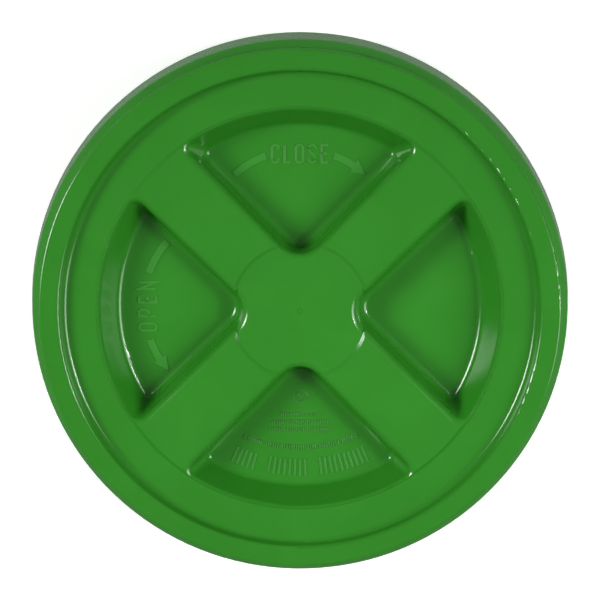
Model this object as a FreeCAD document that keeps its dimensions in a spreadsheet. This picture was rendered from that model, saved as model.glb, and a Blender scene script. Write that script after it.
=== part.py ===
import FreeCAD, Part
import math
import os
import re

import Sketcher

# Screw-on lid for a plastic fermenting bucket, in millimetres.
# An adapter ring snaps on the bucket's rim and stays there, and a lid with four finger pockets
# screws into the ring. Each of the two has its own seal.
# +Z is up, Z = 0 is the foot of the ring's threaded collar, and the Z axis is the screw axis.

doc = FreeCAD.newDocument("screw_on_bucket_lid")

# Every size that can be set by itself.
SIZES = [
    # the bucket that the lid fits
    ("rim_radius", 151.25, "outside of the bucket's rim bead"),
    ("rim_width", 8.45, "rim bead in to the bucket's inner wall"),
    ("rim_play", 0.35, "bead to the snap wall"),
    ("plug_play", 0.5, "inner wall to the plug wall"),
    # whole lid
    ("overall_height", 50.0, "collar foot to the top of the lid's band"),
    ("step_depth", 6.8, "from the band down to the lid's plate"),
    ("step_lean", 2.2, "how much narrower the step is at its foot"),
    ("band_width", 12.6, "top of the band, from the step to its outer edge"),
    ("lid_wall", 2.6, "wall of the spin lid"),
    ("lip_wall", 1.6, "turned-down lip of the band"),
    ("lip_depth", 6.2, "band top down to the lip's edge"),
    # top face
    ("step_round", 4.0, "rounding at the foot of the step"),
    ("edge_round", 2.0, "rounding of the band's edges"),
    ("arm_rise", 1.3, "arms above the plate"),
    ("ramp_width", 2.0, "slope at both ends of an arm"),
    ("ramp_overrun", 1.8, "foot of the outer slope, outside the pocket rim's radius"),
    ("hub_radius", 40.0, "flat hub between the arms"),
    ("gate_radius", 1.8, "mould gate mark at the centre"),
    ("gate_depth", 0.4, "depth of that mark"),
    # finger pockets
    ("pocket_margin", 1.4, "pocket's outer rim to the threaded skirt's inside"),
    ("pocket_slope", 25.6, "degrees that the outer wall leans inward"),
    ("pocket_draft", 10.0, "degrees that the side walls lean inward"),
    ("pocket_depth", 20.1, "plate down to the pocket floor"),
    ("pocket_half_angle", 44.2, "degrees from the pocket's middle to its side"),
    ("arm_width", 39.9, "between two pockets, halfway along the arm"),
    ("arm_middle", 80.0, "distance from the axis where arm_width is taken"),
    ("apex_round", 15.5, "inner end of a pocket, seen from above"),
    ("corner_round", 5.4, "upright outer corners of a pocket"),
    ("floor_round", 5.0, "edge of the pocket floor"),
    ("rim_round", 5.0, "rounding of the pocket rims"),
    ("overcut", 5.0, "how far a cutting shape runs past what it cuts"),
    # screw thread, one start, right hand
    ("skirt_wall", 2.6, "wall of the lid's threaded skirt"),
    ("skirt_depth", 28.6, "plate's underside down to the skirt's edge"),
    ("thread_pitch", 9.0, "rise in one turn"),
    ("thread_height", 2.0, "how far a rib stands out"),
    ("thread_base", 4.2, "rib at its root"),
    ("thread_crest", 2.2, "rib at its crest"),
    ("thread_play", 0.5, "rib crest to the facing wall"),
    ("flank_play", 0.4, "lid rib below ring rib, measured upright"),
    ("lid_thread_rise", 3.65, "skirt's edge up to the middle of the rib's start"),
    ("lid_thread_turns", 1.25, "turns of the lid's rib"),
    ("thread_end_gap", 1.0, "end of the ring's rib below the ring's land"),
    # seals
    ("seal_offset", 8.5, "threaded skirt out to the middle of the O-ring"),
    ("seal_section", 2.2, "radius of the O-ring's section"),
    ("seal_play", 0.3, "O-ring to the faces around it, not yet squeezed"),
    ("seal_rib", 1.2, "ribs that hold the O-ring"),
    ("seal_rib_depth", 2.6, "depth of those ribs"),
    ("gasket_play", 1.5, "bucket gasket to the plug wall"),
    ("gasket_width", 5.7, "flat gasket on the bucket's rim"),
    ("gasket_thickness", 3.0, "its thickness"),
    # adapter ring, heights measured down from its roof
    ("ring_wall", 2.6, "collar, roof and plug wall"),
    ("collar_space", 10.6, "plug wall in to the collar"),
    ("plug_depth", 17.0, "lower edge of the plug wall"),
    ("snap_wall", 2.4, "wall that snaps over the bucket's rim, and outer skirt"),
    ("snap_wall_depth", 19.0, "lower edge of the snap wall"),
    ("snap_depth", 11.7, "upper edge of the snap bead's crest"),
    ("snap_flat", 1.0, "height of that crest"),
    ("snap_bite", 1.2, "how far the bead reaches under the rim"),
    ("snap_lead", 0.3, "how far the snap wall opens at its foot"),
    ("upright_gap", 0.5, "top of the ring's upright to the band above it"),
    ("side_gap", 0.4, "ring's upright to the lid's lip"),
    ("outer_skirt_space", 11.0, "snap wall out to the outer skirt's foot"),
    ("outer_skirt_depth", 24.0, "lower edge of the outer skirt"),
    ("outer_skirt_lean", 4.1, "how much narrower the skirt is at its shoulder"),
    ("shoulder_drop", 5.4, "height of the sloping shoulder"),
    ("shoulder_width", 5.0, "width of the sloping shoulder"),
    ("shoulder_round", 4.0, "rounding below the shoulder"),
    ("crown_round", 1.5, "rounding above the shoulder"),
    ("shoulder_gap", 1.2, "shoulder below the lid's lip"),
    ("inside_corner", 1.0, "shift of a sloping wall's inner corners that keeps the wall even"),
    ("web", 1.8, "thickness of the ring's webs"),
    ("web_count", 36, "webs in each of the two rows"),
    ("inner_web_depth", 15.0, "lower edge of the webs behind the collar"),
    ("outer_web_depth", 14.0, "lower edge of the webs behind the outer skirt"),
    ("root_bite", 0.4, "how far a rib or web runs into its wall"),
]

sheet = doc.addObject("Spreadsheet::Sheet", "Sizes")
for row, (alias, size, note) in enumerate(SIZES, start=1):
    sheet.set(f"A{row}", note)
    sheet.set(f"B{row}", str(size))
    sheet.setAlias(f"B{row}", alias)
doc.recompute()

ALIASES = {alias for alias, size, note in SIZES}


def on_sheet(formula):
    """Point each named size in a formula at its cell."""
    return re.sub(r"[a-z_]+", lambda word: "Sizes." + word[0] if word[0] in ALIASES else word[0], formula)


def number(formula):
    """Today's value of a formula."""
    value = sheet.evalExpression(on_sheet(formula))
    return float(getattr(value, "Value", value))


# Radii that follow from the sizes, as formulas, from the outside in.
UPRIGHT_INNER = "(rim_radius + rim_play)"
UPRIGHT_OUTER = f"({UPRIGHT_INNER} + snap_wall)"
OUTER_SKIRT = f"({UPRIGHT_OUTER} + outer_skirt_space)"
LIP_INNER = f"({UPRIGHT_OUTER} + side_gap)"
BAND_OUTER = f"({LIP_INNER} + lip_wall)"
BAND_INNER = f"({BAND_OUTER} - band_width)"
STEP_FOOT = f"({BAND_INNER} - step_lean)"
PLUG_OUTER = "(rim_radius - rim_width - plug_play)"
PLUG_INNER = f"({PLUG_OUTER} - ring_wall)"
COLLAR_OUTER = f"({PLUG_INNER} - collar_space)"
COLLAR_INNER = f"({COLLAR_OUTER} - ring_wall)"
SKIRT_OUTER = f"({COLLAR_INNER} - thread_height - thread_play)"
SKIRT_INNER = f"({SKIRT_OUTER} - skirt_wall)"
SEAL_MIDDLE = f"({SKIRT_OUTER} + seal_offset)"
POCKET_RIM = f"({SKIRT_INNER} - pocket_margin)"
ARM_FOOT = f"({POCKET_RIM} + ramp_overrun)"

# Heights that follow from the sizes, from the top down.
BAND_UNDER = "(overall_height - lid_wall)"
UPRIGHT_TOP = f"({BAND_UNDER} - upright_gap)"
LIP_EDGE = "(overall_height - lip_depth)"
SHOULDER_TOP = f"({LIP_EDGE} - shoulder_gap)"
SHOULDER_FOOT = f"({SHOULDER_TOP} - shoulder_drop)"
PLATE = "(overall_height - step_depth)"
ARM = f"({PLATE} + arm_rise)"
PLATE_UNDER = f"({PLATE} - lid_wall)"
SKIRT_EDGE = f"({PLATE_UNDER} - skirt_depth)"
LAND = f"({PLATE_UNDER} - 2 * seal_play - 2 * seal_section)"
ROOF = f"({LAND} - ring_wall)"

# Middle of each thread rib at its start. Both ribs slope by the same amount, so at one radius
# their half-widths add up to BOTH_HALVES.
BOTH_HALVES = ("(thread_base - (thread_height + thread_play) * (thread_base - thread_crest)"
               " / (2 * thread_height))")
LID_THREAD_START = f"({SKIRT_EDGE} + lid_thread_rise)"
RING_THREAD_START = f"({LID_THREAD_START} + {BOTH_HALVES} + flank_play)"
RING_THREAD_TURNS = f"(({LAND} - thread_end_gap - thread_base / 2 - {RING_THREAD_START}) / thread_pitch)"


def origin_part(body, role):
    return next(item for item in body.Origin.OriginFeatures if item.Role == role)


def outline(body, name, role, corners, lift=None):
    """Draw a closed outline on one of the body's own planes.

    Each corner is (across, up) or (across, up, rounding), as formulas, and the two places of a
    corner are dimensions of the sketch that read the sheet.
    """
    sketch = body.newObject("Sketcher::SketchObject", name)
    sketch.AttachmentSupport = [(origin_part(body, role), "")]
    sketch.MapMode = "FlatFace"
    if lift:
        sketch.setExpression("AttachmentOffset.Base.z", on_sheet(lift))

    places = [FreeCAD.Vector(number(corner[0]), number(corner[1]), 0) for corner in corners]
    radii = [number(corner[2]) if len(corner) > 2 else 0.0 for corner in corners]
    count = len(corners)
    leave = []
    enter = []
    turns = []
    for i, place in enumerate(places):
        back = (places[i - 1] - place).normalize()
        ahead = (places[(i + 1) % count] - place).normalize()
        reach = radii[i] / math.tan(back.getAngle(ahead) / 2)
        enter.append(place + back * reach)
        leave.append(place + ahead * reach)
        turns.append(ahead.cross(back).z)

    lines = [Part.LineSegment(leave[i], enter[(i + 1) % count]) for i in range(count)]
    sketch.addGeometry(lines, False)
    for i, corner in enumerate(corners):
        before = (i - 1) % count
        if radii[i]:
            outer = (places[i] - enter[i]).normalize()
            side = FreeCAD.Vector(-outer.y, outer.x, 0) * math.copysign(radii[i], turns[i])
            centre = enter[i] + side
            first, last = (enter[i], leave[i]) if turns[i] > 0 else (leave[i], enter[i])
            start = math.atan2(first.y - centre.y, first.x - centre.x)
            stop = math.atan2(last.y - centre.y, last.x - centre.x)
            circle = Part.Circle(centre, FreeCAD.Vector(0, 0, 1), radii[i])
            arc = sketch.addGeometry(Part.ArcOfCircle(circle, start, stop), False)
            geometry = sketch.addGeometry(Part.Point(places[i]), True)
            arc_in, arc_out = (1, 2) if turns[i] > 0 else (2, 1)
            sketch.addConstraint([
                Sketcher.Constraint("PointOnObject", geometry, 1, before),
                Sketcher.Constraint("PointOnObject", geometry, 1, i),
                Sketcher.Constraint("Tangent", before, 2, arc, arc_in),
                Sketcher.Constraint("Tangent", i, 1, arc, arc_out),
            ])
            size = sketch.addConstraint(Sketcher.Constraint("Radius", arc, radii[i]))
            sketch.setExpression(f"Constraints[{size}]", on_sheet(corner[2]))
        else:
            sketch.addConstraint(Sketcher.Constraint("Coincident", before, 2, i, 1))
            geometry = i
        for kind, formula, place, axis in (
            ("DistanceX", corner[0], places[i].x, -2),
            ("DistanceY", corner[1], places[i].y, -1),
        ):
            if formula == "0":
                sketch.addConstraint(Sketcher.Constraint("PointOnObject", geometry, 1, axis))
            else:
                size = sketch.addConstraint(Sketcher.Constraint(kind, geometry, 1, place))
                sketch.setExpression(f"Constraints[{size}]", on_sheet(formula))
    return sketch


def turned(body, kind, name, corners):
    """Turn an outline of radius and height about the screw axis."""
    sketch = outline(body, name + "_outline", "XZ_Plane", corners)
    feature = body.newObject("PartDesign::" + kind, name)
    feature.Profile = sketch
    feature.ReferenceAxis = (sketch, ["V_Axis"])
    feature.Angle = 360
    return feature


def thread(body, name, wall, outward, start, turns):
    """Add a screw rib to a wall, standing outward or inward."""
    side = 1 if outward else -1
    root = f"({wall} - {side} * root_bite)"
    crest = f"({wall} + {side} * thread_height)"
    sketch = outline(body, name + "_outline", "XZ_Plane", [
        (root, f"{start} - thread_base / 2"),
        (wall, f"{start} - thread_base / 2"),
        (crest, f"{start} - thread_crest / 2"),
        (crest, f"{start} + thread_crest / 2"),
        (wall, f"{start} + thread_base / 2"),
        (root, f"{start} + thread_base / 2"),
    ])
    rib = body.newObject("PartDesign::AdditiveHelix", name)
    rib.Profile = sketch
    rib.ReferenceAxis = (sketch, ["V_Axis"])
    rib.Mode = "pitch-turns-angle"
    rib.setExpression("Pitch", on_sheet("thread_pitch"))
    rib.setExpression("Turns", on_sheet(turns))
    rib.LeftHanded = False
    rib.Reversed = False
    return rib


def repeated(body, name, feature, count):
    """Repeat a feature, or the whole body, round the screw axis."""
    pattern = body.newObject("PartDesign::PolarPattern", name)
    if feature:
        pattern.Originals = [feature]
    else:
        pattern.TransformMode = "Whole shape"
    pattern.Axis = (origin_part(body, "Z_Axis"), [""])
    pattern.Angle = 360
    if isinstance(count, str):
        pattern.setExpression("Occurrences", on_sheet(count))
    else:
        pattern.Occurrences = count
    body.Tip = pattern
    return pattern


def rounded(body, name, edges, radius):
    """Round the named edges of the body's last feature."""
    fillet = body.newObject("PartDesign::Fillet", name)
    fillet.Base = (fillet.BaseFeature, edges)
    fillet.setExpression("Radius", on_sheet(radius))
    return fillet


def webs(body, name, inner, outer, foot, top):
    """Add a row of upright radial webs between two walls."""
    sketch = outline(body, name + "_outline", "XZ_Plane", [
        (inner[0], foot),
        (outer[0], foot),
        (outer[1], top),
        (inner[1], top),
    ])
    web = body.newObject("PartDesign::Pad", name)
    web.Profile = sketch
    web.setExpression("Length", on_sheet("web"))
    web.Midplane = True
    repeated(body, name + "_row", web, "web_count")


def edges_where(body, test):
    """Names of the edges of the body's last shape that pass a test."""
    return [f"Edge{i}" for i, edge in enumerate(body.Tip.Shape.Edges, start=1) if test(edge)]


def is_level(edge, height):
    box = edge.BoundBox
    return abs(box.ZMin - height) < 0.01 and abs(box.ZMax - height) < 0.01


def is_corner(edge, bottom, top):
    """True for an edge that runs from bottom to top on the slanted outer wall."""
    ends = sorted((vertex.Point for vertex in edge.Vertexes), key=lambda point: point.z)
    if len(ends) < 2 or abs(ends[0].z - bottom) > 0.01 or abs(ends[-1].z - top) > 0.01:
        return False
    return min(math.hypot(end.x, end.y) for end in ends) > number(POCKET_RIM) * 0.75


def build_pockets(name, growth):
    """Four finger pockets as solids, with growth added on every side but the top.

    Each is a wedge between two arms with its outer end on a cone.
    """
    body = doc.addObject("PartDesign::Body", name)
    floor = f"({PLATE} - pocket_depth - {growth})"
    top = f"({ARM} + overcut)" if growth == "0" else f"({PLATE} - lid_wall / 2)"
    half = "pocket_half_angle * 1deg"
    # Distance from the plate's top down to the floor, where the outline is drawn.
    sink = f"(pocket_depth + {growth})"
    # The sides at the plate: their distance from the diagonal at arm_middle is half the arm's width.
    across = "((arm_middle - arm_width / 2) * cos(45deg))"
    along = "((arm_middle + arm_width / 2) * cos(45deg))"
    vertex = f"({along} - {across} / tan({half}))"
    # Down at the floor, the draft moves the sides in, and growth moves them out.
    inset = f"({sink} * tan(pocket_draft * 1deg) - {growth} / cos(pocket_draft * 1deg))"
    floor_vertex = f"({vertex} + {inset} / sin({half}))"
    floor_apex = f"(apex_round - {inset})"
    end = f"({POCKET_RIM} + 3 * overcut)"
    reach = f"(({end} - {floor_vertex}) * tan({half}))"
    sketch = outline(body, name + "_wedge_outline", "XY_Plane", [
        ("0", floor_vertex, floor_apex),
        (reach, end),
        (f"-{reach}", end),
    ], lift=floor)
    wedge = body.newObject("PartDesign::Pad", name + "_wedge")
    wedge.Profile = sketch
    wedge.setExpression("Length", on_sheet(f"{top} - {floor}"))
    wedge.setExpression("TaperAngle", on_sheet("pocket_draft * 1deg"))
    doc.recompute()

    lean = "tan(pocket_slope * 1deg)"
    rim = f"({POCKET_RIM} + {growth} / cos(pocket_slope * 1deg))"
    outer = f"(1.6 * {POCKET_RIM})"
    turned(body, "Groove", name + "_cone", [
        (f"{rim} - ({sink} + overcut) * {lean}", f"{floor} - overcut"),
        (outer, f"{floor} - overcut"),
        (outer, f"{top} + overcut"),
        (f"{rim} + ({top} + overcut - {PLATE}) * {lean}", f"{top} + overcut"),
    ])
    doc.recompute()
    floor_height = number(floor)
    upright = edges_where(body, lambda edge: is_corner(edge, floor_height, number(top)))
    rounded(body, name + "_corners", upright, f"corner_round + {growth}")
    doc.recompute()
    bottom = edges_where(body, lambda edge: is_level(edge, floor_height))
    rounded(body, name + "_floor_edge", bottom, f"floor_round + {growth}")
    doc.recompute()
    repeated(body, name + "_row", None, 4)
    doc.recompute()
    return body


def combined(body, kind, name, tool):
    """Join a tool body to this one, or cut it out."""
    boolean = body.newObject("PartDesign::Boolean", name)
    boolean.Type = kind
    boolean.setObjects([tool])
    doc.recompute()


def is_rim(shape, edge):
    """True for an edge between a pocket's wall and the top face."""
    wall = number("lid_wall")
    on_top = edge.BoundBox.ZMin > number(PLATE) - wall / 4
    inside = math.hypot(edge.Vertexes[0].X, edge.Vertexes[0].Y) < number(f"{POCKET_RIM} + step_round")
    lows = sorted(face.BoundBox.ZMin for face in shape.ancestorsOfType(edge, Part.Face))
    return on_top and inside and lows[0] < number(PLATE) - wall < lows[-1]


def build_ring():
    ring = doc.addObject("PartDesign::Body", "adapter_ring")
    shoulder_edge = f"({OUTER_SKIRT} - outer_skirt_lean)"
    under_shoulder = f"({SHOULDER_TOP} - snap_wall)"
    bead = f"({UPRIGHT_INNER} - snap_bite)"
    bead_top = f"({ROOF} - snap_depth)"
    turned(ring, "Revolution", "ring_shell", [
        (COLLAR_INNER, "0"),
        (COLLAR_OUTER, "0"),
        (COLLAR_OUTER, ROOF),
        (PLUG_INNER, ROOF),
        (PLUG_INNER, f"{ROOF} - plug_depth"),
        (PLUG_OUTER, f"{ROOF} - plug_depth"),
        (PLUG_OUTER, ROOF),
        (UPRIGHT_INNER, ROOF),
        (UPRIGHT_INNER, f"{bead_top} + snap_bite"),
        (bead, bead_top),
        (bead, f"{bead_top} - snap_flat"),
        (f"{UPRIGHT_INNER} + snap_lead", f"{ROOF} - snap_wall_depth"),
        (UPRIGHT_OUTER, f"{ROOF} - snap_wall_depth"),
        (UPRIGHT_OUTER, under_shoulder),
        (f"{shoulder_edge} - shoulder_width - inside_corner", under_shoulder),
        (f"{shoulder_edge} - snap_wall", f"{SHOULDER_FOOT} - inside_corner"),
        (f"{OUTER_SKIRT} - snap_wall", f"{ROOF} - outer_skirt_depth"),
        (OUTER_SKIRT, f"{ROOF} - outer_skirt_depth"),
        (shoulder_edge, SHOULDER_FOOT, "shoulder_round"),
        (f"{shoulder_edge} - shoulder_width", SHOULDER_TOP, "crown_round"),
        (UPRIGHT_OUTER, SHOULDER_TOP),
        (UPRIGHT_OUTER, UPRIGHT_TOP),
        (UPRIGHT_INNER, UPRIGHT_TOP),
        (UPRIGHT_INNER, LAND),
        (COLLAR_INNER, LAND),
    ])
    thread(ring, "ring_thread", COLLAR_INNER, False, RING_THREAD_START, RING_THREAD_TURNS)
    webs(ring, "inner_web",
         inner=(f"{COLLAR_OUTER} - root_bite", f"{COLLAR_OUTER} - root_bite"),
         outer=(f"{PLUG_INNER} + root_bite", f"{PLUG_INNER} + root_bite"),
         foot=f"{ROOF} - inner_web_depth", top=f"{ROOF} + root_bite")
    webs(ring, "outer_web",
         inner=(f"{UPRIGHT_OUTER} - root_bite", f"{UPRIGHT_OUTER} - root_bite"),
         outer=(f"{OUTER_SKIRT} - snap_wall", f"{shoulder_edge} - snap_wall + root_bite"),
         foot=f"{ROOF} - outer_web_depth", top=f"{SHOULDER_FOOT} - inside_corner")
    return ring


def build_bucket_gasket():
    gasket = doc.addObject("PartDesign::Body", "bucket_gasket")
    inner = f"({PLUG_OUTER} + gasket_play)"
    turned(gasket, "Revolution", "gasket_ring", [
        (inner, f"{ROOF} - gasket_thickness"),
        (f"{inner} + gasket_width", f"{ROOF} - gasket_thickness"),
        (f"{inner} + gasket_width", ROOF),
        (inner, ROOF),
    ])
    return gasket


def build_lid_gasket():
    seal = doc.addObject("Part::Torus", "lid_gasket")
    seal.setExpression("Radius1", on_sheet(SEAL_MIDDLE))
    seal.setExpression("Radius2", on_sheet("seal_section"))
    seal.setExpression("Placement.Base.z", on_sheet(f"{LAND} + seal_play + seal_section"))
    return seal


def with_pockets(body):
    """Add the four pocket cups to a body, cut their insides out and round their rims."""
    combined(body, "Fuse", body.Name + "_cups", build_pockets(body.Name + "_cup", "lid_wall"))
    combined(body, "Cut", body.Name + "_pockets", build_pockets(body.Name + "_space", "0"))
    shape = body.Tip.Shape
    rims = edges_where(body, lambda edge: is_rim(shape, edge))
    rounded(body, body.Name + "_rims", rims, "rim_round")
    doc.recompute()


def build_arms():
    """The four arms, cut from a disc at their height that has the same pockets.

    Two slopes of ramp_width bound them, and below the plate they lie inside the lid.
    """
    arms = doc.addObject("PartDesign::Body", "arms")
    turned(arms, "Revolution", "arm_disc", [
        ("0", f"{ARM} - lid_wall"),
        (f"{POCKET_RIM} + overcut", f"{ARM} - lid_wall"),
        (f"{POCKET_RIM} + overcut", ARM),
        ("0", ARM),
    ])
    doc.recompute()
    with_pockets(arms)
    zone = doc.addObject("PartDesign::Body", "arm_zone")
    turned(zone, "Revolution", "arm_zone_ring", [
        ("hub_radius", f"{PLATE} - rim_round"),
        (ARM_FOOT, f"{PLATE} - rim_round"),
        (ARM_FOOT, PLATE),
        (f"{ARM_FOOT} - 2 * ramp_width", f"{PLATE} + 2 * arm_rise"),
        ("hub_radius + 2 * ramp_width", f"{PLATE} + 2 * arm_rise"),
        ("hub_radius", PLATE),
    ])
    doc.recompute()
    combined(arms, "Common", "arms_between_slopes", zone)
    return arms


def build_spin_lid():
    lid = doc.addObject("PartDesign::Body", "spin_lid")
    # The two ribs that hold the O-ring stand at the sides of this track.
    track_in = f"({SEAL_MIDDLE} - seal_section - seal_play)"
    track_out = f"({SEAL_MIDDLE} + seal_section + seal_play)"
    rib_foot = f"({PLATE_UNDER} - seal_rib_depth)"
    under_arm = f"({ARM} - lid_wall)"
    turned(lid, "Revolution", "lid_shell", [
        ("0", f"{PLATE} - gate_depth"),
        ("gate_radius - gate_depth", f"{PLATE} - gate_depth"),
        ("gate_radius", PLATE),
        (STEP_FOOT, PLATE, "step_round"),
        (BAND_INNER, "overall_height", "edge_round"),
        (BAND_OUTER, "overall_height", "edge_round"),
        (BAND_OUTER, LIP_EDGE),
        (LIP_INNER, LIP_EDGE),
        (LIP_INNER, BAND_UNDER),
        (f"{BAND_INNER} + lid_wall", BAND_UNDER),
        (f"{STEP_FOOT} + lid_wall", PLATE_UNDER, "step_round"),
        (f"{track_out} + seal_rib", PLATE_UNDER),
        (f"{track_out} + seal_rib", rib_foot),
        (track_out, rib_foot),
        (track_out, PLATE_UNDER),
        (track_in, PLATE_UNDER),
        (track_in, rib_foot),
        (f"{track_in} - seal_rib", rib_foot),
        (f"{track_in} - seal_rib", PLATE_UNDER),
        (SKIRT_OUTER, PLATE_UNDER),
        (SKIRT_OUTER, SKIRT_EDGE),
        (SKIRT_INNER, SKIRT_EDGE),
        (SKIRT_INNER, PLATE_UNDER),
        (f"{ARM_FOOT} - lid_wall", PLATE_UNDER),
        (f"{ARM_FOOT} - lid_wall - ramp_width", under_arm),
        ("hub_radius + inside_corner + ramp_width", under_arm),
        ("hub_radius + inside_corner", PLATE_UNDER),
        ("0", PLATE_UNDER),
    ])
    doc.recompute()
    with_pockets(lid)
    combined(lid, "Fuse", "with_arms", build_arms())
    thread(lid, "lid_thread", SKIRT_OUTER, True, LID_THREAD_START, "lid_thread_turns")
    return lid


nodes = [build_ring(), build_bucket_gasket(), build_lid_gasket(), build_spin_lid()]
doc.recompute()

for item in doc.Objects:
    if "Invalid" in item.State or "Error" in item.State:
        raise RuntimeError(f"{item.Label} failed: {item.State}")
for node in nodes:
    if node.Shape.isNull() or not node.Shape.isValid():
        raise RuntimeError(f"{node.Label} has no valid shape")

os.makedirs("parts", exist_ok=True)
for node in nodes:
    node.Shape.exportStep(f"parts/{node.Label}.step")
    box = node.Shape.optimalBoundingBox(False)
    print(f"{node.Label}: {len(node.Shape.Solids)} solid(s), {node.Shape.Volume / 1000:.1f} cm3, "
          f"{box.XLength:.1f} x {box.YLength:.1f} x {box.ZLength:.1f} mm from Z {box.ZMin:.2f}")
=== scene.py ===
import math

import bmesh
import bpy
from mathutils import Matrix, Vector


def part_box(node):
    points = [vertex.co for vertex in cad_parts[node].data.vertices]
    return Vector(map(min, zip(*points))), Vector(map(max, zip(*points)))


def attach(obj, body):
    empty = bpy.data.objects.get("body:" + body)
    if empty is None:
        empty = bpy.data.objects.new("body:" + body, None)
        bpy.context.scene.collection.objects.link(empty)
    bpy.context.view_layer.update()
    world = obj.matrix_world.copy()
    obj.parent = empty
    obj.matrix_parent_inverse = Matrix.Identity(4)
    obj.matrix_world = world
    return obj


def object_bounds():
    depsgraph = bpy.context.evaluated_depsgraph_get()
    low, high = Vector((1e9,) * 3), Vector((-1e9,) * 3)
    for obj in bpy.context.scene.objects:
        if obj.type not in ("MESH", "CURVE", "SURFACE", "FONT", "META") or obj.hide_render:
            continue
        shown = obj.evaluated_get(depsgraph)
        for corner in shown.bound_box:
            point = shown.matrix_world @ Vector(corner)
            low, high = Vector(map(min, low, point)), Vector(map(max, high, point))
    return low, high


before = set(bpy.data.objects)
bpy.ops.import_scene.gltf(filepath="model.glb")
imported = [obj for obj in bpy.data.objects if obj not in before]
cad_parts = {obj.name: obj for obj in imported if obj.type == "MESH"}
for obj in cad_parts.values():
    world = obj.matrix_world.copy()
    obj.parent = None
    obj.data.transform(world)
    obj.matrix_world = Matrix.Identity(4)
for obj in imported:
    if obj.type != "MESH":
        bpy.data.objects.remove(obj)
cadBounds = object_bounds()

# Screw-on lid for a fermenting bucket, moulded in green polyethylene.
# The solids come from the CAD frame, in metres. This script adds the finishes, the raised
# marks on the pocket floors, the light, the floor and the camera.

mm = 0.001


def hexColour(code):
    # sRGB hex to the linear colour a shader expects
    parts = [int(code[i:i + 2], 16) / 255 for i in (1, 3, 5)]
    linear = [c / 12.92 if c <= 0.04045 else ((c + 0.055) / 1.055) ** 2.4 for c in parts]
    return (*linear, 1.0)


def addNode(owner, kind, settings=None, links=None):
    # a node of a material or of the world: settings go to a socket of that name, or to the
    # node itself, and links feed sockets
    node = owner.node_tree.nodes.new(kind)
    for name, value in (settings or {}).items():
        if name in node.inputs:
            node.inputs[name].default_value = value
        else:
            setattr(node, name, value)
    for name, source in (links or {}).items():
        owner.node_tree.links.new(source, node.inputs[name])
    return node


def newMaterial(name):
    material = bpy.data.materials.new(name)
    material.use_nodes = True
    material.node_tree.nodes.clear()
    return material


def perMm(size):
    # scale of a pattern whose grain is this many mm across, on coordinates in metres
    return 1 / (size * mm)


# Finishes

mouldedGreen = {
    "green": "#2e8520",
    "flowGreen": "#318923",     # faintly paler where the melt met
    "flowSize": 45,             # mm across a flow cloud
    "flowRange": (0.35, 0.7),
    "ior": 1.52,
    "roughness": 0.15,
    "roughnessSpread": 0.05,
    "hazeSize": 12,             # mm across a patch of duller or brighter gloss
    "peelSize": 1.6,            # mm, ripple left by the mould's polish
    "peelHeight": 0.004,        # mm
    "sinkSize": 28,             # mm across a shallow sink mark
    "sinkHeight": 0.03,         # mm
}


def polyethyleneMoulded(name, finish):
    # injection-moulded high-density polyethylene: even green, soft gloss, slightly wavy reflections
    material = newMaterial(name)
    coordinates = addNode(material, "ShaderNodeTexCoord").outputs["Object"]
    flow = addNode(material, "ShaderNodeTexNoise",
                   {"Scale": perMm(finish["flowSize"]), "Detail": 3.0, "Distortion": 0.8},
                   {"Vector": coordinates})
    blend = addNode(material, "ShaderNodeValToRGB", links={"Fac": flow.outputs["Fac"]})
    for stop, place, colour in zip(blend.color_ramp.elements, finish["flowRange"],
                                   (finish["green"], finish["flowGreen"])):
        stop.position = place
        stop.color = hexColour(colour)
    haze = addNode(material, "ShaderNodeTexNoise", {"Scale": perMm(finish["hazeSize"]), "Detail": 4.0},
                   {"Vector": coordinates})
    gloss = addNode(material, "ShaderNodeMapRange",
                    {"To Min": finish["roughness"] - finish["roughnessSpread"],
                     "To Max": finish["roughness"] + finish["roughnessSpread"]},
                    {"Value": haze.outputs["Fac"]})
    sink = addNode(material, "ShaderNodeTexNoise",
                   {"Scale": perMm(finish["sinkSize"]), "Detail": 1.0}, {"Vector": coordinates})
    peel = addNode(material, "ShaderNodeTexNoise",
                   {"Scale": perMm(finish["peelSize"]), "Detail": 2.0}, {"Vector": coordinates})
    sinkBump = addNode(material, "ShaderNodeBump",
                       {"Strength": 1.0, "Distance": finish["sinkHeight"] * mm},
                       {"Height": sink.outputs["Fac"]})
    peelBump = addNode(material, "ShaderNodeBump",
                       {"Strength": 1.0, "Distance": finish["peelHeight"] * mm},
                       {"Height": peel.outputs["Fac"], "Normal": sinkBump.outputs["Normal"]})
    shader = addNode(material, "ShaderNodeBsdfPrincipled", {"IOR": finish["ior"]},
                     {"Base Color": blend.outputs["Color"], "Roughness": gloss.outputs["Result"],
                      "Normal": peelBump.outputs["Normal"]})
    addNode(material, "ShaderNodeOutputMaterial", links={"Surface": shader.outputs["BSDF"]})
    return material


greyFoam = {
    "grey": "#8c8c84",
    "cellPaintedShadeGrey": "#6f6f69",      # painted shade inside an open cell
    "cellSize": 0.7,            # mm
    "cellHeight": 0.12,         # mm
    "ior": 1.5,
    "roughness": 0.85,
}
blackRubber = {
    "black": "#161616",
    "bloomGrey": "#232323",     # where wax has come to the surface
    "bloomSize": 14,            # mm across a patch of bloom
    "grainSize": 0.5,           # mm
    "grainHeight": 0.01,        # mm
    "ior": 1.52,
    "roughness": 0.42,
}


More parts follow.
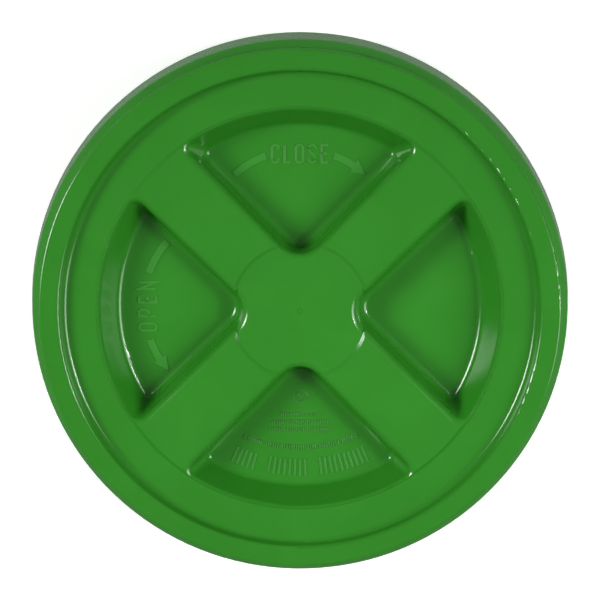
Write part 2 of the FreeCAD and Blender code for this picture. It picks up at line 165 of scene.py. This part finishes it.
def foamRubberClosedCell(name, finish):
    # closed-cell foam rubber: dull grey with fine open cells on its skin, darker inside each cell as
    # painted shade
    material = newMaterial(name)
    coordinates = addNode(material, "ShaderNodeTexCoord").outputs["Object"]
    cells = addNode(material, "ShaderNodeTexVoronoi", {"Scale": perMm(finish["cellSize"])},
                    {"Vector": coordinates})
    tone = addNode(material, "ShaderNodeValToRGB", links={"Fac": cells.outputs["Distance"]})
    tone.color_ramp.elements[0].color = hexColour(finish["cellPaintedShadeGrey"])
    tone.color_ramp.elements[1].position = 0.5
    tone.color_ramp.elements[1].color = hexColour(finish["grey"])
    bump = addNode(material, "ShaderNodeBump",
                   {"Strength": 1.0, "Distance": finish["cellHeight"] * mm},
                   {"Height": cells.outputs["Distance"]})
    shader = addNode(material, "ShaderNodeBsdfPrincipled",
                     {"IOR": finish["ior"], "Roughness": finish["roughness"]},
                     {"Base Color": tone.outputs["Color"], "Normal": bump.outputs["Normal"]})
    addNode(material, "ShaderNodeOutputMaterial", links={"Surface": shader.outputs["BSDF"]})
    return material


def nitrileRubberMoulded(name, finish):
    # moulded nitrile rubber O-ring: satin black with a faint grey bloom
    material = newMaterial(name)
    coordinates = addNode(material, "ShaderNodeTexCoord").outputs["Object"]
    bloom = addNode(material, "ShaderNodeTexNoise",
                    {"Scale": perMm(finish["bloomSize"]), "Detail": 4.0},
                    {"Vector": coordinates})
    tone = addNode(material, "ShaderNodeValToRGB", links={"Fac": bloom.outputs["Fac"]})
    tone.color_ramp.elements[0].position = 0.4
    tone.color_ramp.elements[0].color = hexColour(finish["black"])
    tone.color_ramp.elements[1].position = 0.75
    tone.color_ramp.elements[1].color = hexColour(finish["bloomGrey"])
    grain = addNode(material, "ShaderNodeTexNoise",
                    {"Scale": perMm(finish["grainSize"]), "Detail": 2.0},
                    {"Vector": coordinates})
    bump = addNode(material, "ShaderNodeBump",
                   {"Strength": 1.0, "Distance": finish["grainHeight"] * mm},
                   {"Height": grain.outputs["Fac"]})
    shader = addNode(material, "ShaderNodeBsdfPrincipled",
                     {"IOR": finish["ior"], "Roughness": finish["roughness"]},
                     {"Base Color": tone.outputs["Color"], "Normal": bump.outputs["Normal"]})
    addNode(material, "ShaderNodeOutputMaterial", links={"Surface": shader.outputs["BSDF"]})
    return material


# the marks are the lid's own plastic: their paler green is painted sheen for the light their rougher
# skin catches, and only their higher roughness is real
mouldedMarksPaintedSheen = {**mouldedGreen, "green": "#388f2c", "flowGreen": "#3b922f", "roughness": 0.3}

lidGreen = polyethyleneMoulded("polyethyleneMouldedGreenLid", mouldedGreen)
ringGreen = polyethyleneMoulded("polyethyleneMouldedGreenRing", mouldedGreen)
markGreenPaintedSheen = polyethyleneMoulded("polyethyleneMouldedGreenMarksPaintedSheen", mouldedMarksPaintedSheen)
foamGrey = foamRubberClosedCell("foamRubberClosedCellGrey", greyFoam)
ringBlack = nitrileRubberMoulded("nitrileRubberMouldedBlack", blackRubber)

for nodeName, material in {"spin_lid": lidGreen, "adapter_ring": ringGreen,
                           "bucket_gasket": foamGrey, "lid_gasket": ringBlack}.items():
    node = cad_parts[nodeName]
    node.data.materials.clear()
    node.data.materials.append(material)
print("finishes done")


# Raised marks on the pocket floors

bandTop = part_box("spin_lid")[1].z

marks = {
    "floorHeight": bandTop - 26.9 * mm,     # pocket floors, below the top of the band
    "rise": 0.5 * mm,
    "root": 0.35 * mm,                      # how far a mark is sunk into the floor
    "edgeRound": 0.12 * mm,
    "sharpAngle": math.radians(50),         # edges sharper than this are rounded
    "stroke": 1.5 * mm,
    "bendRound": 0.46,                      # of a letter's inside width
    "letterHeight": 11.9 * mm,
    "wordRadius": 92.7 * mm,
    "closeGap": 2.1 * mm,                   # between letters
    "openGap": 3.0 * mm,
    "arrowRadius": 59.6 * mm,
    "arrowCentre": 35.6 * mm,               # from the lid's axis, along the pocket's middle
    "arrowWidth": 4.3 * mm,
    "headWidth": 9.1 * mm,
    "headLength": 8.9 * mm,
    "tipShift": 0.6 * mm,                   # the tip follows the arc inward
}

# Each letter's width inside its strokes in mm, and its strokes on a box of 1 by 1.
# A third value of 1 rounds that corner.
letterStrokes = {
    "C": (4.0, [[(1, 0.76), (1, 1, 1), (0, 1, 1), (0, 0, 1), (1, 0, 1), (1, 0.24)]]),
    "L": (3.2, [[(0, 1), (0, 0), (1, 0)]]),
    "O": (4.3, [[(0, 0.5), (0, 1, 1), (1, 1, 1), (1, 0, 1), (0, 0, 1), (0, 0.5)]]),
    "S": (4.0, [[(1, 0.8), (1, 1, 1), (0, 1, 1), (0, 0.66, 1), (1, 0.34, 1), (1, 0, 1), (0, 0, 1),
                 (0, 0.2)]]),
    "E": (3.8, [[(1, 1), (0, 1), (0, 0), (1, 0)], [(0, 0.52), (0.85, 0.52)]]),
    "P": (4.0, [[(0, 0), (0, 1), (1, 1, 1), (1, 0.42, 1), (0, 0.42)]]),
    "N": (4.0, [[(0, 0), (0, 1), (1, 0), (1, 1)]]),
}


def meshObject(name, bm, place=None):
    # bmesh to an object at the origin, its place put into the mesh
    if place is not None:
        bmesh.ops.transform(bm, matrix=place, verts=bm.verts[:])
    bmesh.ops.recalc_face_normals(bm, faces=bm.faces[:])
    mesh = bpy.data.meshes.new(name)
    bm.to_mesh(mesh)
    bm.free()
    piece = bpy.data.objects.new(name, mesh)
    bpy.context.scene.collection.objects.link(piece)
    return piece


def applyModifiers(piece):
    # the modifiers' result as the piece's own mesh, closed and facing outwards
    evaluated = piece.evaluated_get(bpy.context.evaluated_depsgraph_get())
    mesh = bpy.data.meshes.new_from_object(evaluated)
    piece.modifiers.clear()
    piece.data = mesh
    bm = bmesh.new()
    bm.from_mesh(mesh)
    bmesh.ops.remove_doubles(bm, verts=bm.verts[:], dist=0.002 * mm)
    bmesh.ops.recalc_face_normals(bm, faces=bm.faces[:])
    bm.to_mesh(mesh)
    bm.free()


def finishMark(piece):
    # soft edges and the marks' finish, whose paler green is painted sheen; every mark turns with the
    # lid
    edge = piece.modifiers.new("edgeRound", "BEVEL")
    edge.width = marks["edgeRound"]
    edge.segments = 2
    edge.limit_method = "ANGLE"
    edge.angle_limit = marks["sharpAngle"]
    applyModifiers(piece)
    piece.data.materials.clear()
    piece.data.materials.append(markGreenPaintedSheen)
    for face in piece.data.polygons:
        face.use_smooth = False
    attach(piece, "lid")


def raiseFaces(bm):
    # flat faces to a solid as high as a mark with its root
    raised = bmesh.ops.extrude_face_region(bm, geom=bm.faces[:])["geom"]
    tops = [item for item in raised if isinstance(item, bmesh.types.BMVert)]
    bmesh.ops.translate(bm, vec=(0, 0, marks["root"] + marks["rise"]), verts=tops)


def addStroke(bm, points, cornerRound):
    # an upright strip along the stroke's middle, which Solidify makes as wide as the stroke
    verts = [bm.verts.new((point[0], point[1], -marks["root"])) for point in points]
    isLoop = (verts[0].co - verts[-1].co).length < 0.001 * mm
    if isLoop:
        bm.verts.remove(verts.pop())
    edges = [bm.edges.new(pair) for pair in zip(verts, verts[1:])]
    if isLoop:
        edges.append(bm.edges.new((verts[-1], verts[0])))
    strip = bmesh.ops.extrude_edge_only(bm, edges=edges)["geom"]
    tops = [item for item in strip if isinstance(item, bmesh.types.BMVert)]
    bmesh.ops.translate(bm, vec=(0, 0, marks["root"] + marks["rise"]), verts=tops)
    soft = [vert for vert, point in zip(verts, points) if len(point) > 2]
    uprights = [edge for vert in soft for edge in vert.link_edges
                if abs(edge.verts[0].co.z - edge.verts[1].co.z) > marks["root"]]
    if uprights:
        bmesh.ops.bevel(bm, geom=uprights, offset=cornerRound, offset_type="OFFSET", segments=6,
                        profile=0.5, affect="EDGES", clamp_overlap=True, material=-1)


def addWord(name, word, gap, turn):
    # the word stands on a straight line, its letters' tops outward, then turns to its pocket
    height = marks["letterHeight"] - marks["stroke"]
    widths = [letterStrokes[letter][0] * mm + marks["stroke"] for letter in word]
    left = -(sum(widths) + gap * (len(word) - 1)) / 2
    place = (Matrix.Rotation(turn, 4, "Z")
             @ Matrix.Translation((0, marks["wordRadius"], marks["floorHeight"])))
    for number, (letter, width) in enumerate(zip(word, widths), start=1):
        bm = bmesh.new()
        inside = width - marks["stroke"]
        for stroke in letterStrokes[letter][1]:
            points = [(left + marks["stroke"] / 2 + point[0] * inside,
                       (point[1] - 0.5) * height, *point[2:]) for point in stroke]
            addStroke(bm, points, inside * marks["bendRound"])
        piece = meshObject(f"{name}_{number}_{letter}", bm)
        wall = piece.modifiers.new("strokeWidth", "SOLIDIFY")
        wall.thickness = marks["stroke"]
        wall.offset = 0
        wall.use_even_offset = True
        applyModifiers(piece)
        piece.data.transform(place)
        finishMark(piece)
        left += width + gap


def addArrow(name, start, shaft, head, clockwise, turn):
    # start and shaft are degrees round the arc's centre; a head of no length leaves a plain shaft
    side = -1 if clockwise else 1
    bm = bmesh.new()
    inner = bm.verts.new((marks["arrowRadius"] - marks["arrowWidth"] / 2, 0, 0))
    outer = bm.verts.new((marks["arrowRadius"] + marks["arrowWidth"] / 2, 0, 0))
    spine = bm.edges.new((inner, outer))
    bmesh.ops.spin(bm, geom=[inner, outer, spine], axis=(0, 0, 1), cent=(0, 0, 0),
                   angle=math.radians(shaft) * side, steps=14)
    if head:
        base = [bm.verts.new((marks["arrowRadius"] + offset, 0, 0))
                for offset in (-marks["headWidth"] / 2, marks["headWidth"] / 2)]
        tip = bm.verts.new((marks["arrowRadius"] - marks["tipShift"], head * side, 0))
        bmesh.ops.transform(bm, matrix=Matrix.Rotation(math.radians(shaft) * side, 4, "Z"),
                            verts=[*base, tip])
        bm.faces.new([*base, tip])
    raiseFaces(bm)
    place = (Matrix.Rotation(turn, 4, "Z")
             @ Matrix.Translation((0, marks["arrowCentre"], marks["floorHeight"] - marks["root"]))
             @ Matrix.Rotation(math.radians(start), 4, "Z"))
    finishMark(meshObject(name, bm, place))


quarterTurn = math.radians(90)
addWord("closeWord", "CLOSE", marks["closeGap"], 0)
addWord("openWord", "OPEN", marks["openGap"], quarterTurn)
addArrow("closeArrow_tail", 131.5, 21.3, 0, True, 0)
addArrow("closeArrow_head", 69.8, 12.7, marks["headLength"], True, 0)
addArrow("openArrow_tail", 48.5, 21.3, 0, False, quarterTurn)
addArrow("openArrow_head", 110.2, 12.7, marks["headLength"], False, quarterTurn)
print("words and arrows done")


# Plain ribs and a date clock on the floor of the front pocket

ribs = {
    # distance from the axis and ribs in each group; steps and gaps of the arcs are degrees
    "bandRadius": 100.2 * mm, "bandGroups": (5, 8, 10), "bandStep": 1.8, "bandGap": 5.4,
    "bandWidth": 1.3 * mm, "bandHeight": 10.6 * mm,
    "arcRadius": 87.6 * mm, "arcGroups": (9, 6, 10, 4, 9, 7), "arcStep": 0.94, "arcGap": 1.9,
    "arcWidth": 0.75 * mm, "arcHeight": 3.0 * mm,
    "rows": ((66.8 * mm, (4, 7, 5)), (71.6 * mm, (5, 9, 3, 6)), (76.2 * mm, (6, 4, 8, 7))),
    "rowStep": 1.35 * mm, "rowGap": 2.6 * mm, "rowWidth": 0.7 * mm, "rowHeight": 2.3 * mm,
}
dateClock = {
    "reach": 55.5 * mm,         # from the lid's axis
    "radius": 4.3 * mm,
    "line": 0.55 * mm,
    "tickLength": 0.9 * mm,
    "tickWidth": 0.44 * mm,
    "handLength": 4.4 * mm,
    "handWidth": 1.5 * mm,
    "handTurn": 30,             # degrees
}


def inGroups(counts, step, gap):
    # places of ribs along a line, centred, with a wider gap between groups
    places = []
    start = 0
    for count in counts:
        places += [start + step * number for number in range(count)]
        start = places[-1] + gap
    return [place - places[-1] / 2 for place in places]


def frontPlace(turn, across, reach):
    # a place on the front pocket's floor: degrees round the axis, then across and outward
    return Matrix.Rotation(math.radians(180 + turn), 4, "Z") @ Matrix.Translation((across, reach, 0))


def addRibs(name, places, width, height):
    # one piece of plain ribs, each sunk into the floor by its root
    bm = bmesh.new()
    size = Matrix.Diagonal((width, height, marks["rise"] + marks["root"], 1))
    for place in places:
        bmesh.ops.create_cube(bm, size=1, matrix=place @ size)
    middle = Matrix.Translation((0, 0, marks["floorHeight"] + (marks["rise"] - marks["root"]) / 2))
    finishMark(meshObject(name, bm, middle))


def addDateClock():
    # ring, twelve ticks and a hand, as a date insert in the mould leaves them
    outer, line = dateClock["radius"], dateClock["line"]
    centre = frontPlace(0, 0, dateClock["reach"])
    base = Matrix.Translation((0, 0, marks["floorHeight"] - marks["root"])) @ centre
    high = marks["root"] + marks["rise"]
    bm = bmesh.new()
    corners = [bm.verts.new(spot) for spot in ((outer - line, 0, 0), (outer, 0, 0),
                                               (outer, 0, high), (outer - line, 0, high))]
    loop = [bm.edges.new((corners[i - 1], corners[i])) for i in range(4)]
    bmesh.ops.spin(bm, geom=[*corners, *loop], axis=(0, 0, 1), cent=(0, 0, 0),
                   angle=math.radians(360), steps=40, use_merge=True)
    finishMark(meshObject("dateClock_ring", bm, base))
    halfWidth, halfLength = dateClock["handWidth"] / 2, dateClock["handLength"] / 2
    bm = bmesh.new()
    bm.faces.new([bm.verts.new(spot) for spot in ((-halfWidth, -halfLength, 0),
                                                  (halfWidth, -halfLength, 0), (0, halfLength, 0))])
    raiseFaces(bm)
    handTurn = Matrix.Rotation(math.radians(dateClock["handTurn"]), 4, "Z")
    finishMark(meshObject("dateClock_hand", bm, base @ handTurn))
    tickPlace = Matrix.Translation((0, outer - line - dateClock["tickLength"] / 2, 0))
    ticks = [centre @ Matrix.Rotation(math.radians(30 * hour), 4, "Z") @ tickPlace
             for hour in range(12)]
    addRibs("dateClock_ticks", ticks, dateClock["tickWidth"], dateClock["tickLength"])


addRibs("frontRibs_band",
        [frontPlace(turn, 0, ribs["bandRadius"])
         for turn in inGroups(ribs["bandGroups"], ribs["bandStep"], ribs["bandGap"])],
        ribs["bandWidth"], ribs["bandHeight"])
addRibs("frontRibs_arc",
        [frontPlace(turn, 0, ribs["arcRadius"])
         for turn in inGroups(ribs["arcGroups"], ribs["arcStep"], ribs["arcGap"])],
        ribs["arcWidth"], ribs["arcHeight"])
for number, (reach, groups) in enumerate(ribs["rows"], start=1):
    addRibs(f"frontRibs_row_{number}",
            [frontPlace(0, across, reach)
             for across in inGroups(groups, ribs["rowStep"], ribs["rowGap"])],
            ribs["rowWidth"], ribs["rowHeight"])
addDateClock()
print("front pocket's ribs and date clock done")


# Light, floor and camera

studio = {
    "floorWhite": "#f7f7f5",
    "floorSize": 8.0,
    "floorGlow": 0.5,
    "domeStrength": 0.20,
    "underStrength": 0.26,      # below the horizon
    "horizon": (-0.1, 0.0),     # height over which the one passes into the other
    "aim": (0, -0.04, 0.04),
    "distance": 1.6,            # of each panel from there
}
# azimuth and elevation in degrees, size in metres, spread in degrees as a grid in front of
# the softbox gives, and power in watts
panels = {
    "keyPanel": (170, 38, 0.60, 32, 0.95),
    "softPanel": (357, 42, 0.90, 60, 2.05),
    "topPanel": (6, 50, 0.15, 22, 0.068),
}

for name, (azimuth, elevation, size, spread, power) in panels.items():
    light = bpy.data.lights.new(name, "AREA")
    light.shape = "SQUARE"
    light.size = size
    light.spread = math.radians(spread)
    light.energy = power
    panel = bpy.data.objects.new(name, light)
    az, el = math.radians(azimuth), math.radians(elevation)
    away = Vector((math.cos(el) * math.cos(az), math.cos(el) * math.sin(az), math.sin(el)))
    panel.location = Vector(studio["aim"]) + away * studio["distance"]
    panel.rotation_euler = away.to_track_quat("Z", "Y").to_euler()
    bpy.context.scene.collection.objects.link(panel)

world = bpy.data.worlds.new("studioDome")
world.use_nodes = True
world.node_tree.nodes.clear()
towards = addNode(world, "ShaderNodeTexCoord").outputs["Generated"]
height = addNode(world, "ShaderNodeSeparateXYZ", links={"Vector": towards})
strength = addNode(world, "ShaderNodeMapRange",
                   {"From Min": studio["horizon"][0], "From Max": studio["horizon"][1],
                    "To Min": studio["underStrength"], "To Max": studio["domeStrength"]},
                   {"Value": height.outputs["Z"]})
dome = addNode(world, "ShaderNodeBackground", {"Color": (1, 1, 1, 1)},
               {"Strength": strength.outputs["Result"]})
addNode(world, "ShaderNodeOutputWorld", links={"Surface": dome.outputs["Background"]})
bpy.context.scene.world = world

floorMesh = bmesh.new()
bmesh.ops.create_grid(floorMesh, x_segments=1, y_segments=1, size=studio["floorSize"] / 2)
floor = meshObject("studioFloor", floorMesh, Matrix.Translation((0, 0, cadBounds[0][2])))
# opal acrylic sheet lit from below: an even matt white, on which shadows stay faint
opal = newMaterial("acrylicOpalBacklit")
opalShader = addNode(opal, "ShaderNodeBsdfPrincipled",
                     {"Base Color": hexColour(studio["floorWhite"]), "Roughness": 0.9,
                      "Emission Color": hexColour("#ffffff"), "Emission Strength": studio["floorGlow"]})
addNode(opal, "ShaderNodeOutputMaterial", links={"Surface": opalShader.outputs["BSDF"]})
floor.data.materials.append(opal)
floor.visible_glossy = False        # no white glare of the sheet on the skirt

view = {
    "distance": 1.1,
    "tilt": math.radians(8.65),
    "lens": 111.1,
    "sensor": 36.0,
    "shiftY": 0.0216,
}
camera = bpy.data.objects.new("studioCamera", bpy.data.cameras.new("studioCamera"))
camera.location = (0, view["distance"] * math.sin(view["tilt"]),
                   bandTop + view["distance"] * math.cos(view["tilt"]))
camera.rotation_euler = (-view["tilt"], 0, 0)
camera.data.lens = view["lens"]
camera.data.sensor_width = view["sensor"]
camera.data.shift_y = view["shiftY"]
bpy.context.scene.collection.objects.link(camera)
bpy.context.scene.camera = camera
bpy.context.scene.view_settings.view_transform = "Standard"
print("light, floor and camera done")
